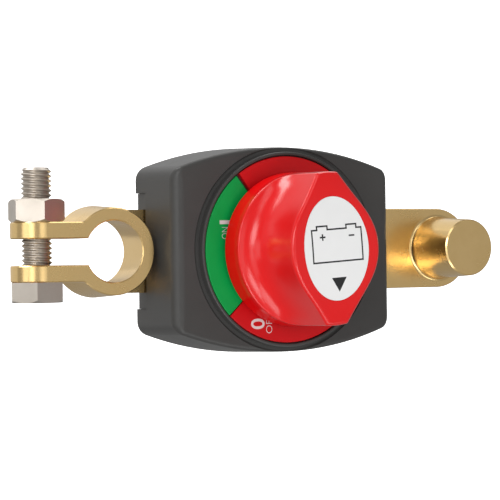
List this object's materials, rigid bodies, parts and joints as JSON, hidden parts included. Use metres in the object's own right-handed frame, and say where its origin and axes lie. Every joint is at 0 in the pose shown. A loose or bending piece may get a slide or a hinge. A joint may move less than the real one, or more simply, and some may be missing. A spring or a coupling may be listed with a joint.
{
  "type": "battery terminal disconnect switch",
  "caption": "Battery terminal disconnect switch: dark bowed housing, red scooped knob over a red and green dial, brass ring clamp and bolt on the left, tapered cable post on the right.",
  "frame": {"origin": "on the knob's axis in the plane of the base, which is also the clamp's underside", "axes": "+Z along the knob's axis away from the base, +X from the battery clamp to the cable post"},
  "size_m": [0.1467, 0.0572, 0.0484],
  "materials": {
    "housing_plastic": "fine moulded matt, dark warm grey",
    "dial_red": "satin, red",
    "dial_green": "satin, green",
    "knob_red": "glossy, red",
    "label_white": "printed film, pale grey with black print",
    "zinc_steel": "zinc plated",
    "rotor_plastic": "glass-filled nylon, grey",
    "contact_copper": "tinned copper left bright",
    "spring_steel": "ground spring steel",
    "seal_rubber": "matt black",
    "contact_silver": "silver alloy",
    "brass": "cast and machined, satin with bright edges",
    "stainless": "bright cold-formed"
  },
  "bodies": {
    "housing": {"front_cover": "housing_plastic", "base_plate": "housing_plastic", "dial_red": "dial_red", "dial_green": "dial_green", "shaft_seal": "seal_rubber", "contact_pad_left": "contact_silver", "contact_pad_right": "contact_silver", "clamp_casting": "brass", "post_terminal": "brass", "clamp_bolt": "stainless", "clamp_nut": "stainless", "housing_screw_1": "zinc_steel", "housing_screw_2": "zinc_steel", "housing_screw_3": "zinc_steel", "housing_screw_4": "zinc_steel"},
    "knob": {"knob": "knob_red", "knob_label": "label_white", "knob_screw": "zinc_steel", "rotor": "rotor_plastic", "contact_bridge": "contact_copper", "contact_spring": "spring_steel"}
  },
  "joints": [
    {"name": "knob_turn", "type": "hinge", "parent": "housing", "child": "knob", "pos_m": [0, 0, 0], "axis": [0, 0, 1], "range_deg": [-90, 0]}
  ]
}
